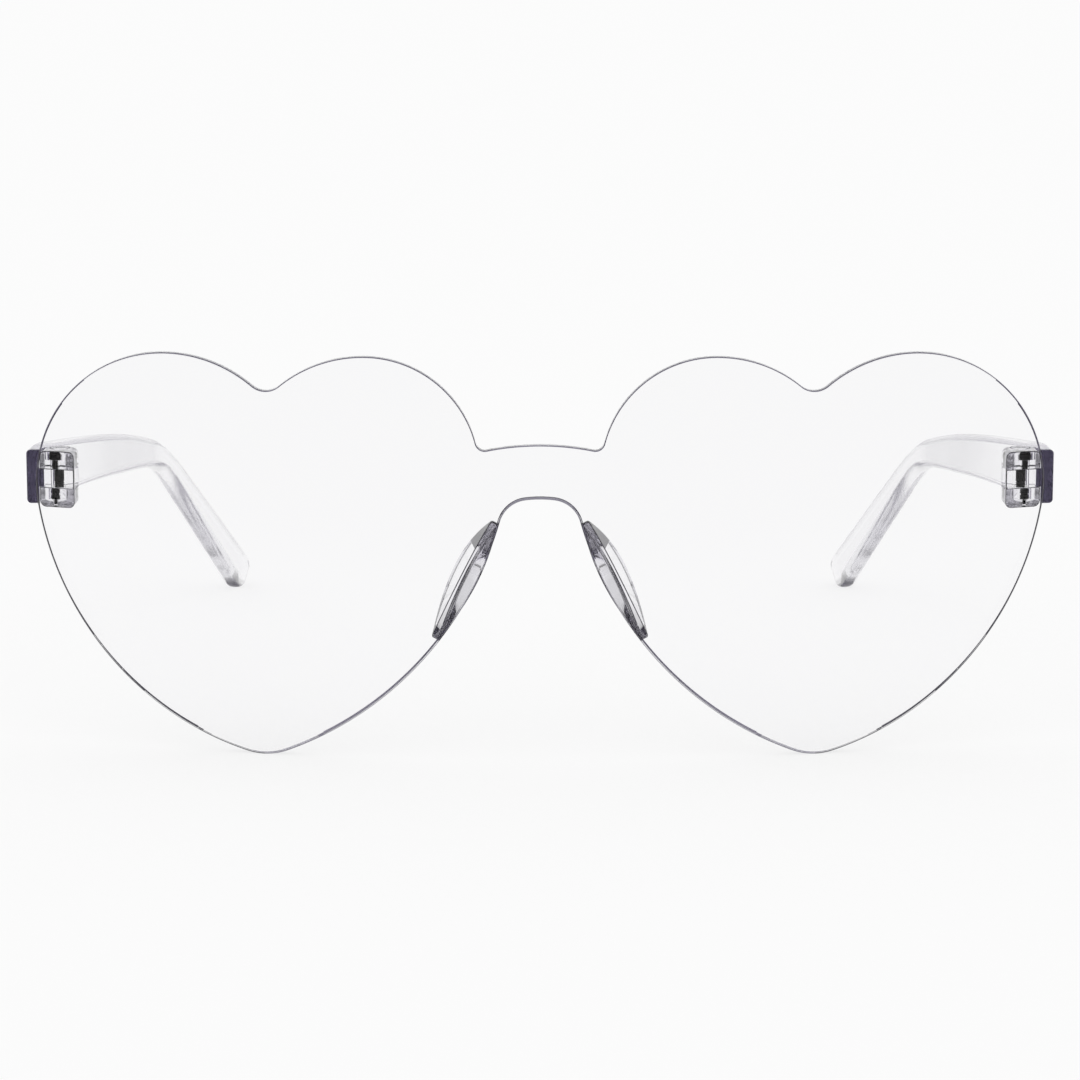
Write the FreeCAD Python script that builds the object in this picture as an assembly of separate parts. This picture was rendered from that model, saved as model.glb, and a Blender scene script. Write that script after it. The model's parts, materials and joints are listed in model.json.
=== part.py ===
"""Rimless heart-shaped glasses: a curved front, two nose pads and two temples on screw hinges.

Millimetres. +Z is up and Z = 0 is the table that the glasses stand on, with the temples open. The lens
faces -Y, the temples run towards +Y, and the wearer's left is +X. X = 0 is the mid-plane, and Y = 0 is the
middle of the overall depth.
"""
import FreeCAD, Part
import math
import os

Vector = FreeCAD.Vector

# Lens: overall sizes and the radii of its outline
lens_half_width = 72.45
lens_height = 57.2
lens_thickness = 2.0
lens_wrap_radius = 200.0
lens_edge_round = 0.3
tip_offset = 39.3
tip_radius = 9.2
outer_lobe_radius = 19.6
inner_lobe_offset = 24.5
inner_lobe_cleft_radius = 19.2
inner_lobe_bridge_radius = 16.0
cleft_radius = 3.0
outer_flank_radius = 42.8
inner_flank_radius = 50.9
inner_flank_offset = 3.7

# Bridge over the nose
bridge_top_height = 44.95
bridge_top_radius = 37.0
bridge_corner_radius = 1.3
nose_arch_height = 37.3
nose_arch_radius = 17.0
nose_corner_radius = 4.3

# Hinge: three knuckles on a screw
hinge_height = 38.15
hinge_inset = 3.3
knuckle_radius = 2.6
knuckle_height = 2.65
knuckle_gap = 0.1
lug_outer_reach = 2.55
swing_gap = 0.2
clevis_web = 0.8
lug_edge_round = 0.85
bond_gap = 0.02

# Hinge screw and the threaded insert that it is driven into
screw_diameter = 1.4
screw_running_clearance = 0.05
screw_head_diameter = 3.0
screw_head_height = 1.0
screw_head_sink = 0.5
screw_head_clearance = 0.05
screw_slot_width = 0.4
screw_slot_depth = 0.4
screw_point_diameter = 0.8
screw_point_length = 0.8
insert_diameter = 2.1
insert_length = 1.45
insert_sink = 0.3
insert_groove_width = 0.25
insert_groove_depth = 0.15
seat_gap = 0.02

# Temple: end block, arm, bend and ear hook
end_block_thickness = 2.25
end_block_front = 1.75
end_block_length = 5.2
end_block_corner = 0.6
temple_thickness = 3.6
temple_front_height = 7.8
temple_middle_height = 6.25
temple_middle_distance = 62.5
temple_bend_height = 4.2
temple_tip_height = 6.55
temple_rear_corner = 1.55
arm_length = 84.6
arm_drop_start = 4.77
arm_drop_end = 8.75
arm_inset_angle = 4.63
bend_length = 20.4
hook_length = 30.2
hook_inset_angle = 19.2
rest_flat = 0.15
steepest_hook_drop = 80.0
hook_drop_halvings = 40
walk_stride = 0.25
arm_sections = 4
bend_sections = 4
hook_sections = 2
tip_round_angles = (30.0, 55.0, 75.0)

# Nose pads
pad_top_height = 33.6
pad_bottom_height = 16.9
pad_depth = 7.0
pad_end_depth = 1.0
pad_root_width = 2.1
pad_end_width = 1.1
pad_overhang = 0.5
pad_lean = 1.3
pad_rim_corner = 0.4
pad_sections = 9


# Plane geometry of the outline, in X and Z

def crossing(center_a, radius_a, center_b, radius_b, side):
    """The point at a distance from each of two centres, left (+1) or right (-1) of the way from a to b."""
    way = center_b - center_a
    span = way.Length
    along = (radius_a ** 2 - radius_b ** 2 + span ** 2) / (2.0 * span)
    across = math.sqrt(radius_a ** 2 - along ** 2)
    forward = way / span
    left = Vector(-forward.z, 0, forward.x)
    return center_a + forward * along + left * (side * across)


def toward(center, point, radius):
    """The point of a circle that lies towards another point."""
    return center + (point - center).normalize() * radius


def arc(center, radius, start, end):
    """The shorter arc of a circle between two of its points."""
    middle = toward(center, (start + end) / 2.0, radius)
    return Part.Arc(start, middle, end).toShape()


def circles_of_half_lens():
    """Centre and radius of each tangent arc of the left half, from the bridge's top to the nose arch."""
    bridge = Vector(0, 0, bridge_top_height - bridge_top_radius)
    lobe_bridge = Vector(inner_lobe_offset, 0, lens_height - inner_lobe_bridge_radius)
    lobe_cleft = Vector(inner_lobe_offset, 0, lens_height - inner_lobe_cleft_radius)
    lobe_outer = Vector(lens_half_width - outer_lobe_radius, 0, lens_height - outer_lobe_radius)
    tip = Vector(tip_offset, 0, tip_radius)
    bridge_corner = crossing(bridge, bridge_top_radius + bridge_corner_radius,
                             lobe_bridge, inner_lobe_bridge_radius + bridge_corner_radius, 1)
    cleft = crossing(lobe_cleft, inner_lobe_cleft_radius + cleft_radius,
                     lobe_outer, outer_lobe_radius + cleft_radius, 1)
    flank_outer = crossing(lobe_outer, outer_flank_radius - outer_lobe_radius,
                           tip, outer_flank_radius - tip_radius, -1)
    flank_inner_x = inner_flank_offset + inner_flank_radius
    flank_inner_rise = math.sqrt((inner_flank_radius - tip_radius) ** 2 - (flank_inner_x - tip_offset) ** 2)
    flank_inner = Vector(flank_inner_x, 0, tip_radius + flank_inner_rise)
    arch = Vector(0, 0, nose_arch_height - nose_arch_radius)
    nose_corner = crossing(arch, nose_arch_radius - nose_corner_radius,
                           flank_inner, inner_flank_radius + nose_corner_radius, 1)
    return {
        "bridge": (bridge, bridge_top_radius),
        "bridge corner": (bridge_corner, bridge_corner_radius),
        "inner lobe, bridge side": (lobe_bridge, inner_lobe_bridge_radius),
        "inner lobe, cleft side": (lobe_cleft, inner_lobe_cleft_radius),
        "cleft": (cleft, cleft_radius),
        "outer lobe": (lobe_outer, outer_lobe_radius),
        "outer flank": (flank_outer, outer_flank_radius),
        "tip": (tip, tip_radius),
        "inner flank": (flank_inner, inner_flank_radius),
        "nose corner": (nose_corner, nose_corner_radius),
        "nose arch": (arch, nose_arch_radius),
    }


def meeting_point(first, second):
    """The point where two tangent circles touch, on the line through their centres."""
    (center_a, radius_a), (center_b, radius_b) = first, second
    way = (center_b - center_a).normalize()
    inside = way.dot(center_b - center_a) < max(radius_a, radius_b)
    return center_a + way * (radius_a if not inside or radius_a > radius_b else -radius_a)


def half_outline():
    """The arcs of the left half of the lens's outline."""
    circles = list(circles_of_half_lens().values())
    joints = [Vector(0, 0, bridge_top_height)]
    for first, second in zip(circles, circles[1:]):
        joints.append(meeting_point(first, second))
    joints.append(Vector(0, 0, nose_arch_height))
    return [arc(center, radius, start, end)
            for (center, radius), start, end in zip(circles, joints, joints[1:])]


# Lens

wrap_axis = Vector(0, lens_wrap_radius, 0)
lens_back_radius = lens_wrap_radius - lens_thickness


def wrap_cylinder(radius):
    """A solid cylinder about the upright axis that the lens is curved round."""
    return Part.makeCylinder(radius, 2.0 * lens_height, wrap_axis - Vector(0, 0, lens_height / 2.0))


def lens_edge_depth():
    """How far behind the bridge the back of the lens lies at its outer edge."""
    return lens_wrap_radius - math.sqrt(lens_back_radius ** 2 - lens_half_width ** 2)


def make_lens():
    """The heart outline, cut from a curved sheet, with its sharp edges broken."""
    left = half_outline()
    right = [edge.mirror(Vector(), Vector(1, 0, 0)) for edge in left]
    outline = Part.Wire(Part.__sortEdges__(left + right))
    blank = Part.Face(outline).extrude(Vector(0, lens_edge_depth() + lens_thickness, 0))
    sheet = wrap_cylinder(lens_wrap_radius).cut(wrap_cylinder(lens_back_radius))
    lens = blank.common(sheet).Solids[0]
    rims = [edge for edge in lens.Edges if not runs_front_to_back(edge)]
    return lens.makeFillet(lens_edge_round, rims)


def runs_front_to_back(edge):
    """Whether an edge runs through the thickness of the lens rather than along its outline."""
    box = edge.BoundBox
    return box.YLength > box.XLength + box.ZLength


# Hinge levels and the place of its axis, on the wearer's left

knuckle_pitch = knuckle_height + knuckle_gap
middle_bottom = hinge_height - knuckle_height / 2.0
middle_top = hinge_height + knuckle_height / 2.0
upper_bottom = middle_bottom + knuckle_pitch
upper_top = upper_bottom + knuckle_height
lower_bottom = middle_bottom - knuckle_pitch
lower_top = lower_bottom + knuckle_height
hinge_x = lens_half_width - hinge_inset
web_back_radius = lens_back_radius - bond_gap - clevis_web
hinge_reach = web_back_radius - knuckle_radius - swing_gap
hinge_y = lens_wrap_radius - math.sqrt(hinge_reach ** 2 - hinge_x ** 2)
lug_room = knuckle_radius + swing_gap
head_bottom = upper_top - screw_head_sink - screw_head_height
insert_bottom = lower_top - insert_sink - insert_length


def hinge_cylinder(diameter, bottom, top):
    """A cylinder on the hinge's axis."""
    return Part.makeCylinder(diameter / 2.0, top - bottom, Vector(hinge_x, hinge_y, bottom))


def lug_profile(radius, outer_reach, bottom, top):
    """A knuckle, round behind the axis, straight forward to the lens and flat on its outer side."""
    round_part = hinge_cylinder(2.0 * radius, bottom, top)
    square_part = Part.makeBox(2.0 * radius, hinge_y, top - bottom, Vector(hinge_x - radius, 0, bottom))
    room = Part.makeBox(radius + outer_reach, hinge_y + radius, top - bottom,
                        Vector(hinge_x - radius, 0, bottom))
    return round_part.fuse(square_part).common(room).removeSplitter()


def make_clevis():
    """Two lugs on a thin web that follows the back of the lens, bored for the screw and the insert."""
    block = lug_profile(knuckle_radius, lug_outer_reach, lower_bottom, upper_top)
    block = block.common(wrap_cylinder(lens_back_radius - bond_gap))
    slot = Part.makeBox(4.0 * knuckle_radius, hinge_y + knuckle_radius, upper_bottom - lower_top,
                        Vector(hinge_x - 2.0 * knuckle_radius, 0, lower_top))
    block = block.cut(slot.common(wrap_cylinder(web_back_radius)))
    outer_edges = []
    for edge in block.Edges:
        box = edge.BoundBox
        level = abs(box.ZMin - upper_top) < 1e-6 or abs(box.ZMax - lower_bottom) < 1e-6
        on_web = abs(edge.CenterOfMass.sub(wrap_axis_at(box.ZMin)).Length - lens_back_radius) < clevis_web
        if level and box.ZLength < 1e-6 and not on_web:
            outer_edges.append(edge)
    block = block.makeFillet(lug_edge_round, outer_edges)
    head_bore = screw_head_diameter + 2.0 * screw_head_clearance
    shank_bore = screw_diameter + 2.0 * screw_running_clearance
    point_bore = screw_point_diameter + 2.0 * screw_running_clearance
    insert_bore = insert_diameter + 2.0 * seat_gap
    block = block.cut(hinge_cylinder(head_bore, head_bottom - seat_gap, upper_top))
    block = block.cut(hinge_cylinder(shank_bore, upper_bottom, upper_top))
    block = block.cut(hinge_cylinder(insert_bore, insert_bottom - seat_gap, lower_top))
    return block.cut(hinge_cylinder(point_bore, lower_bottom, lower_top))


def wrap_axis_at(height):
    """The wrap's axis at a height."""
    return wrap_axis + Vector(0, 0, height)


def make_screw():
    """Slotted head, shank through all three knuckles, and a narrow point below the insert."""
    head_top = head_bottom + screw_head_height
    shank = hinge_cylinder(screw_diameter, insert_bottom, head_bottom)
    point = hinge_cylinder(screw_point_diameter, insert_bottom - screw_point_length, insert_bottom)
    head = hinge_cylinder(screw_head_diameter, head_bottom, head_top)
    slot = Part.makeBox(screw_head_diameter, screw_slot_width, screw_slot_depth,
                        Vector(hinge_x - screw_head_diameter / 2.0, hinge_y - screw_slot_width / 2.0,
                               head_top - screw_slot_depth))
    return head.cut(slot).fuse([shank, point]).removeSplitter()


def make_insert():
    """The bush in the lower lug, with one groove round its middle."""
    insert_top = insert_bottom + insert_length
    groove_bottom = insert_bottom + (insert_length - insert_groove_width) / 2.0
    body = hinge_cylinder(insert_diameter, insert_bottom, insert_top)
    ring = hinge_cylinder(insert_diameter, groove_bottom, groove_bottom + insert_groove_width)
    core = hinge_cylinder(insert_diameter - 2.0 * insert_groove_depth, insert_bottom, insert_top)
    bore = hinge_cylinder(screw_diameter + 2.0 * seat_gap, insert_bottom, insert_top)
    return body.cut(ring.cut(core)).cut(bore)


# Temple, on the wearer's left

temple_outer_x = hinge_x + lug_room + end_block_thickness
temple_center_x = temple_outer_x - temple_thickness / 2.0
temple_center_z = hinge_height
temple_start = Vector(temple_center_x, hinge_y - end_block_front, temple_center_z)
tip_start = arm_length + bend_length + hook_length
tip_round = temple_tip_height / 2.0


def rounded_section(center, lateral, up, width, height, corner):
    """A rectangle with round corners, in the plane of two unit vectors."""
    half_w, half_h = width / 2.0, height / 2.0
    flat_w, flat_h = half_w - corner, half_h - corner
    diagonal = corner * math.sqrt(0.5)

    def at(a, b):
        return center + lateral * a + up * b

    edges = []
    for sign_w, sign_h in ((1, 1), (-1, 1), (-1, -1), (1, -1)):
        middle = at(sign_w * (flat_w + diagonal), sign_h * (flat_h + diagonal))
        side = at(sign_w * half_w, sign_h * flat_h)
        crown = at(sign_w * flat_w, sign_h * half_h)
        start, end = (side, crown) if sign_w == sign_h else (crown, side)
        if edges:
            edges.append(Part.LineSegment(edges[-1].Vertexes[-1].Point, start).toShape())
        edges.append(Part.Arc(start, middle, end).toShape())
    edges.append(Part.LineSegment(edges[-1].Vertexes[-1].Point, edges[0].Vertexes[0].Point).toShape())
    return Part.Wire(edges)


def heading(drop, inset):
    """Unit vector of a run that drops and turns in by the given angles in degrees."""
    drop, inset = math.radians(drop), math.radians(inset)
    return Vector(-math.sin(inset) * math.cos(drop), math.cos(inset) * math.cos(drop), -math.sin(drop))


def angles_at(distance, hook_drop):
    """Drop and inset of the temple's centre line: an arched arm, then a smooth turn through the bend."""
    settle = min(max(distance / end_block_length - 1.0, 0.0), 1.0)
    share = min(max((distance - end_block_length) / (arm_length - end_block_length), 0.0), 1.0)
    turn = min(max((distance - arm_length) / bend_length, 0.0), 1.0)
    eased = turn * turn * (3.0 - 2.0 * turn)
    arm_drop = settle * (arm_drop_start + (arm_drop_end - arm_drop_start) * share ** 2)
    drop = arm_drop + eased * (hook_drop - arm_drop_end)
    inset = settle * arm_inset_angle + eased * (hook_inset_angle - arm_inset_angle)
    return drop, inset


def walk(distance, hook_drop):
    """The point of the centre line at a distance from the temple's front, and its heading there."""
    point, done = Vector(temple_start), 0.0
    while done < distance - 1e-9:
        stride = min(walk_stride, distance - done)
        point += heading(*angles_at(done + stride / 2.0, hook_drop)) * stride
        done += stride
    return point, heading(*angles_at(distance, hook_drop))


def hook_drop_to_floor():
    """The hook's angle that sets the round tip on the floor, found by halving."""
    low, high = arm_drop_end, steepest_hook_drop
    for _ in range(hook_drop_halvings):
        middle = (low + high) / 2.0
        lowest = walk(tip_start, middle)[0].z - tip_round + rest_flat
        low, high = (middle, high) if lowest > 0 else (low, middle)
    return (low + high) / 2.0


def section_sizes(distance):
    """Height and corner radius of the temple's section along its length."""
    bend_middle = arm_length + bend_length / 2.0
    heights = [
        (end_block_length, temple_front_height),
        (temple_middle_distance, temple_middle_height),
        (bend_middle, temple_bend_height),
        (tip_start, temple_tip_height),
    ]
    height = temple_front_height
    for (start, first), (end, last) in zip(heights, heights[1:]):
        if start < distance <= end:
            height = first + (last - first) * (distance - start) / (end - start)
    share = min(max((distance - end_block_length) / (bend_middle - end_block_length), 0.0), 1.0)
    return height, end_block_corner + share * (temple_rear_corner - end_block_corner)


def temple_section(distance, hook_drop, shrink):
    """One section of the temple, square to its centre line."""
    point, forward = walk(distance, hook_drop)
    lateral = forward.cross(Vector(0, 0, 1)).normalize()
    up = lateral.cross(forward)
    height, corner = section_sizes(min(distance, tip_start))
    return rounded_section(point, lateral, up, temple_thickness * shrink, height * shrink, corner * shrink)


def make_arm():
    """End block, arm, bend and ear hook in one loft, with a round tip cut flat where it stands."""
    hook_drop = hook_drop_to_floor()
    arm_span = arm_length - end_block_length
    hook_start = arm_length + bend_length
    stops = [0.0]
    stops += [end_block_length + arm_span * number / arm_sections for number in range(arm_sections)]
    stops += [arm_length + bend_length * number / bend_sections for number in range(bend_sections)]
    stops += [hook_start + hook_length * number / hook_sections for number in range(hook_sections + 1)]
    sections = [temple_section(stop, hook_drop, 1.0) for stop in stops]
    for degrees in tip_round_angles:
        reach = math.sin(math.radians(degrees)) * tip_round
        sections.append(temple_section(tip_start + reach, hook_drop, math.cos(math.radians(degrees))))
    arm = Part.makeLoft(sections, True, False)
    below = Part.makeBox(4.0 * lens_half_width, 4.0 * tip_start, lens_height,
                         Vector(-2.0 * lens_half_width, -2.0 * tip_start, -lens_height))
    return arm.cut(below)


def make_temple():
    """The arm with its middle knuckle, and with room for the two lugs beside and before it."""
    room_below = lug_profile(lug_room, lug_room, lower_bottom - lens_height, middle_bottom)
    room_above = lug_profile(lug_room, lug_room, middle_top, upper_top + lens_height)
    knuckle = hinge_cylinder(2.0 * knuckle_radius, middle_bottom, middle_top)
    temple = make_arm().cut(room_below).cut(room_above).fuse(knuckle)
    bore = hinge_cylinder(screw_diameter + 2.0 * screw_running_clearance, middle_bottom, middle_top)
    return temple.cut(bore).removeSplitter()


# Nose pad, on the wearer's left

def nose_edge_point(height):
    """The point of the lens's nose edge at a height."""
    center, radius = circles_of_half_lens()["inner flank"]
    return Vector(center.x - math.sqrt(radius ** 2 - (height - center.z) ** 2), 0, height)


def rounded_corner(before, corner, after, radius):
    """The start, middle and end of the arc that rounds a corner between two other points."""
    back, ahead = (before - corner).normalize(), (after - corner).normalize()
    half_angle = math.acos(back.dot(ahead)) / 2.0
    reach = radius / math.tan(half_angle)
    middle = corner + (back + ahead).normalize() * (radius / math.sin(half_angle) - radius)
    return corner + back * reach, middle, corner + ahead * reach


def pad_section(position, top, bottom):
    """A fin's section at a position from -1 (top) to 1 (bottom), leaning from the nose to a flat rim."""
    chord = (bottom - top).normalize()
    outward = Vector(-chord.z, 0, chord.x)
    share = 1.0 - position ** 2
    half_length = (bottom - top).Length / 2.0
    edge = nose_edge_point(((top + bottom) / 2.0 + chord * (position * half_length)).z)
    lens_y = lens_wrap_radius - math.sqrt(lens_back_radius ** 2 - edge.x ** 2)
    depth = pad_end_depth + share * (pad_depth - pad_end_depth)
    width = pad_end_width + share * (pad_root_width - pad_end_width)
    root = Vector(edge.x, lens_y - lens_thickness / 2.0, edge.z)
    root_in, root_out = root - outward * (share * pad_overhang), root + outward * width
    rim_in = Vector(edge.x, lens_y + depth, edge.z) + outward * (share * pad_lean)
    rim_out = rim_in + outward * width
    inner = rounded_corner(root_in, rim_in, rim_out, pad_rim_corner)
    outer = rounded_corner(rim_in, rim_out, root_out, pad_rim_corner)
    return Part.Wire([
        Part.LineSegment(root_in, inner[0]).toShape(),
        Part.Arc(*inner).toShape(),
        Part.LineSegment(inner[2], outer[0]).toShape(),
        Part.Arc(*outer).toShape(),
        Part.LineSegment(outer[2], root_out).toShape(),
        Part.LineSegment(root_out, root_in).toShape(),
    ])


def make_pad():
    """A fin lofted along the nose edge, deepest at its middle, with its root on the back of the lens."""
    top, bottom = nose_edge_point(pad_top_height), nose_edge_point(pad_bottom_height)
    stops = [2.0 * number / (pad_sections - 1) - 1.0 for number in range(pad_sections)]
    sections = [pad_section(stop, top, bottom) for stop in stops]
    fin = Part.makeLoft(sections, True, False)
    return fin.common(wrap_cylinder(lens_back_radius - bond_gap))


# Assembly

def main():
    """Builds every piece, centres the glasses on their depth and writes one file for each piece."""
    pieces = {"lens_front": make_lens()}
    makers = {
        "nose_pad": make_pad,
        "hinge_clevis": make_clevis,
        "temple": make_temple,
        "hinge_screw": make_screw,
        "threaded_insert": make_insert,
    }
    for name, make in makers.items():
        left = make()
        pieces[name + "_left"] = left
        pieces[name + "_right"] = left.mirror(Vector(), Vector(1, 0, 0))
    rear = pieces["temple_left"].optimalBoundingBox().YMax
    os.makedirs("parts", exist_ok=True)
    for name, shape in pieces.items():
        solid = shape.Solids[0]
        solid.translate(Vector(0, -rear / 2.0, 0))
        solid.exportStep(os.path.join("parts", name + ".step"))
        box = solid.optimalBoundingBox()
        print(f"{name}: solids {len(shape.Solids)} valid {solid.isValid()} volume {solid.Volume:.2f} "
              f"x {box.XMin:.2f}..{box.XMax:.2f} y {box.YMin:.2f}..{box.YMax:.2f} "
              f"z {box.ZMin:.2f}..{box.ZMax:.2f}")
    print(f"hinge axis x {hinge_x:.3f} y {hinge_y - rear / 2.0:.3f}, depth {rear:.3f}, "
          f"hook drop {hook_drop_to_floor():.2f}")


main()
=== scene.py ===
"""Heart shaped glasses in clear plastic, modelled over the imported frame.

Metres, in the frame's own axes: the lens faces -Y, the temples run towards +Y and the wearer's left is +X.
"""

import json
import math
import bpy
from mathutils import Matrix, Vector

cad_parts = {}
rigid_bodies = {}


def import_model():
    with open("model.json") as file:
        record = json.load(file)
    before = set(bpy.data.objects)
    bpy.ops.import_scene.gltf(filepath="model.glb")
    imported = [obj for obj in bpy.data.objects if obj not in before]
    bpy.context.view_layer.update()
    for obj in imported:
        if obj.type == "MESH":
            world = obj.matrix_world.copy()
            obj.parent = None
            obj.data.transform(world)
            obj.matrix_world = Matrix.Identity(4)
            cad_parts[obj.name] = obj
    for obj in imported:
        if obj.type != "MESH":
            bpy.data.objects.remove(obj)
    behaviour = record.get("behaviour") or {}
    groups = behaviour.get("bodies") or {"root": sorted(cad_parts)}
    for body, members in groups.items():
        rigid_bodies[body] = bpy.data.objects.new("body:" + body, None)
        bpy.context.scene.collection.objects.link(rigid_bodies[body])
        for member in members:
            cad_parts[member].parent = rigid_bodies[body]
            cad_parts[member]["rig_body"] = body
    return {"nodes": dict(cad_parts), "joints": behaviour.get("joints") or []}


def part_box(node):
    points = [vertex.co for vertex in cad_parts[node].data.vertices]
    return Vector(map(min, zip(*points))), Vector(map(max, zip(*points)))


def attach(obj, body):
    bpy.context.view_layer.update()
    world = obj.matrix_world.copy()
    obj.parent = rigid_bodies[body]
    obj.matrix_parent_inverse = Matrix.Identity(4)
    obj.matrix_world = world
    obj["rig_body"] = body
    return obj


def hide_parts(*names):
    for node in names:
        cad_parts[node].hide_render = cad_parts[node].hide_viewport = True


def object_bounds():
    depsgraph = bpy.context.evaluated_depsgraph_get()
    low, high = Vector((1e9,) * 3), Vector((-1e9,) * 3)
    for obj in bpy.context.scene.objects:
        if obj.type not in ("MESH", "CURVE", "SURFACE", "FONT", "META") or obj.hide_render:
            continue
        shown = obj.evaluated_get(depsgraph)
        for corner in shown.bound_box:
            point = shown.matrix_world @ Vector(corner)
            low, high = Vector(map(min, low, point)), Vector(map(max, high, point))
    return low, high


bl_info = {
    "name": "Heart Glasses",
    "version": (1, 0, 0),
    "blender": (4, 5, 0),
    "location": "3D View > Sidebar > Glasses",
    "description": "Rimless heart shaped glasses with clear temples on screw hinges",
    "category": "Add Mesh",
}

import bmesh
import bpy
from bpy.props import FloatProperty, FloatVectorProperty, PointerProperty
from bpy.types import Operator, Panel, PropertyGroup
from mathutils import Matrix, Vector

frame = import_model()
cad_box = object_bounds()

MM = 0.001
UP = Vector((0, 0, 1))
BACKWARD = Vector((0, 1, 0))
SENSOR_MM = 36
TURN_STEPS = 72
SHARP = math.radians(60)
SHADED_SHARP = math.radians(32)

# Material index of each finish on its piece; the edge finishes are painted shade for the dark lines along
# clear edges
CLEAR, PAINTED_SHADE_EDGE, PAINTED_SHADE_FLANK = 0, 1, 2
# The end block's finish is the plastic's own tint, made denser than the arm's as painted shade
END_BLOCK = 1

lens_low, lens_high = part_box("lens_front")
left_fold = next(joint for joint in frame["joints"] if joint["name"] == "temple_left_fold")
hinge = Vector(left_fold["pos_m"])


# Settings that a user would change

def length(name, description, millimetres):
    """A size, given in millimetres."""
    return FloatProperty(name=name, description=description, default=millimetres * MM, min=0.0,
                         precision=5, unit="LENGTH", subtype="DISTANCE")


def angle(name, description, degrees):
    """An angle, given in degrees."""
    return FloatProperty(name=name, description=description, default=math.radians(degrees), subtype="ANGLE")


def amount(name, description, value, highest=1.0):
    """A plain number from nought to a highest value."""
    return FloatProperty(name=name, description=description, default=value, min=0.0, max=highest, precision=4)


def colour(name, description, value):
    """A colour in linear light."""
    return FloatVectorProperty(name=name, description=description, default=value, size=3, min=0.0, max=1.0,
                               subtype="COLOR")


class LensSizes(PropertyGroup):
    """The curved front: its sheet and the radii of its outline"""
    thickness: length("Thickness", "Front to back through the sheet", 2.0)
    wrap_radius: length("Wrap radius", "Radius of the cylinder that the front is curved round", 200.0)
    edge_round: length("Edge round", "Radius that breaks the sheet's edges", 0.3)
    tip_offset: length("Tip offset", "Heart tip from the mid-plane", 39.3)
    tip_radius: length("Tip radius", "Radius of the heart's tip", 9.2)
    outer_lobe: length("Outer lobe", "Radius of the lobe beside the hinge", 19.6)
    inner_lobe_offset: length("Inner lobe offset", "Crown of the inner lobe from the mid-plane", 24.5)
    inner_lobe_cleft: length("Inner lobe, cleft side", "Radius towards the cleft", 19.2)
    inner_lobe_bridge: length("Inner lobe, bridge side", "Radius towards the bridge", 16.0)
    cleft: length("Cleft", "Radius in the notch of the heart", 3.0)
    outer_flank: length("Outer flank", "Radius from the outer lobe to the tip", 42.8)
    inner_flank: length("Inner flank", "Radius from the tip to the nose", 50.9)
    inner_flank_offset: length("Inner flank offset", "Nearest that its circle comes to the mid-plane", 3.7)
    bridge_top: length("Bridge top", "Height of the bridge's upper edge", 44.95)
    bridge_radius: length("Bridge radius", "Radius of the bridge's upper edge", 37.0)
    bridge_corner: length("Bridge corner", "Radius between the bridge and the lobe", 1.3)
    nose_arch_top: length("Nose arch top", "Height of the arch over the nose", 37.3)
    nose_arch: length("Nose arch", "Radius of the arch over the nose", 17.0)
    nose_corner: length("Nose corner", "Radius between the arch and the flank", 4.3)


class PadSizes(PropertyGroup):
    """The clear fins behind the nose edges"""
    top: length("Top", "Height of the upper end", 33.6)
    bottom: length("Bottom", "Height of the lower end", 16.9)
    depth: length("Depth", "How far the fin reaches behind the lens", 7.0)
    end_depth: length("End depth", "The same at the fin's ends", 1.0)
    root_width: length("Root width", "Width on the back of the lens", 2.1)
    end_width: length("End width", "The same at the fin's ends", 1.1)
    overhang: length("Overhang", "How far the root stands proud of the nose edge", 0.5)
    lean: length("Lean", "How far the rim lies away from the nose", 1.3)
    rim_corner: length("Rim corner", "Radius along both sides of the flat rim", 0.4)
    root_edge: length("Root edge", "Width of the broken edges along the root", 0.12)
    end_round: length("End round", "Radius round the fin's ends", 0.25)
    bond_gap: length("Bond gap", "Gap between a pad or clevis and the lens", 0.02)


class HingeSizes(PropertyGroup):
    """Knuckles, screw and threaded insert"""
    knuckle_radius: length("Knuckle radius", "Radius of the lugs and the middle knuckle", 2.6)
    knuckle_height: length("Knuckle height", "Height of one knuckle", 2.65)
    knuckle_gap: length("Knuckle gap", "Gap between knuckles", 0.1)
    outer_reach: length("Outer reach", "From the axis to the lugs' flat outer side", 2.55)
    web: length("Web", "Thickness of the clevis's web", 0.8)
    lug_edge: length("Lug edge", "Width of the broken edges of the lugs and the knuckle", 0.12)
    lug_round: length("Lug round", "Radius round the lugs' outer faces", 0.85)
    swing_gap: length("Swing gap", "Room between the temple and the lugs", 0.2)
    screw_radius: length("Screw radius", "Radius of the screw's shank", 0.7)
    screw_clearance: length("Screw clearance", "Room round the screw", 0.05)
    head_radius: length("Head radius", "Radius of the screw's head", 1.5)
    head_height: length("Head height", "Height of the screw's head", 1.0)
    head_sink: length("Head sink", "How far the head lies below the upper lug's face", 0.5)
    slot_width: length("Slot width", "Width of the driver slot", 0.4)
    slot_depth: length("Slot depth", "Depth of the driver slot", 0.4)
    point_radius: length("Point radius", "Radius of the screw's point", 0.4)
    point_length: length("Point length", "Length of the screw's point", 0.8)
    thread_pitch: length("Thread pitch", "From one ring of the thread to the next", 0.29)
    thread_depth: length("Thread depth", "Depth of the thread's rings", 0.1)
    thread_length: length("Thread length", "Length of the screw that carries the thread", 2.6)
    insert_radius: length("Insert radius", "Radius of the threaded insert", 1.05)
    insert_length: length("Insert length", "Length of the threaded insert", 1.45)
    insert_sink: length("Insert sink", "How far the insert lies below the lower lug's face", 0.3)
    groove_width: length("Groove width", "Width of the insert's groove", 0.25)
    groove_depth: length("Groove depth", "Depth of the insert's groove", 0.15)
    seat_gap: length("Seat gap", "Gap round seated pieces", 0.02)


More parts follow.
